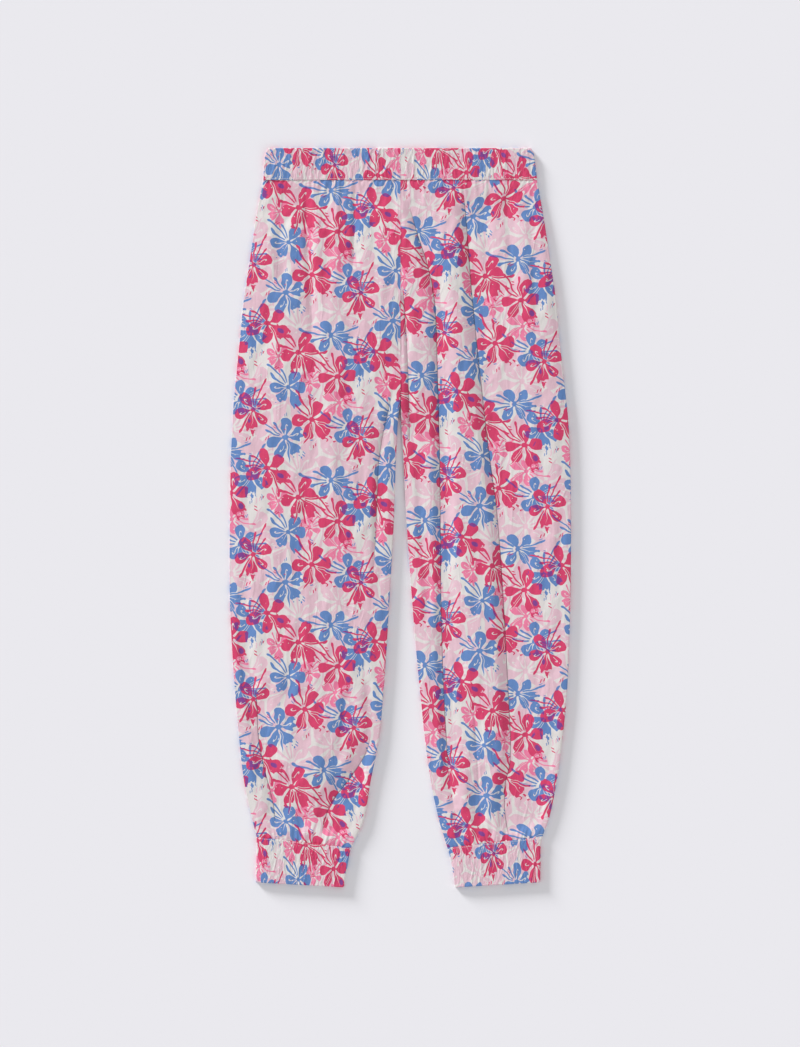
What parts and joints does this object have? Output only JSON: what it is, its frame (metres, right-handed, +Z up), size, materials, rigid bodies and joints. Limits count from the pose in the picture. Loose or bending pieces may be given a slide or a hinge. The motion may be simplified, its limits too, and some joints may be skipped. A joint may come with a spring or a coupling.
{
  "type": "pull-on joggers laid flat",
  "caption": "Loose pull-on joggers in thin floral-printed cloth, laid flat front side up, with a gathered elastic waistband and gathered elastic cuffs.",
  "frame": {"origin": "middle of the garment's outline, on the surface that it lies on", "axes": "+Y towards the waist, +Z up out of the front face, +X towards the wearer's left"},
  "size_m": [0.4436, 0.96, 0.0108],
  "materials": {
    "printed_cloth": "matt plain-weave viscose with a soft sheen, printed with crimson, blue and pink flowers on off-white",
    "sewing_thread": "spun off-white thread"
  },
  "bodies": {
    "root": {"waistband_front_right": "printed_cloth", "waistband_front_left": "printed_cloth", "waistband_back_right": "printed_cloth", "waistband_back_left": "printed_cloth", "leg_front_right": "printed_cloth", "leg_front_left": "printed_cloth", "leg_back_right": "printed_cloth", "leg_back_left": "printed_cloth", "cuff_right": "printed_cloth", "cuff_left": "printed_cloth"}
  },
  "joints": []
}
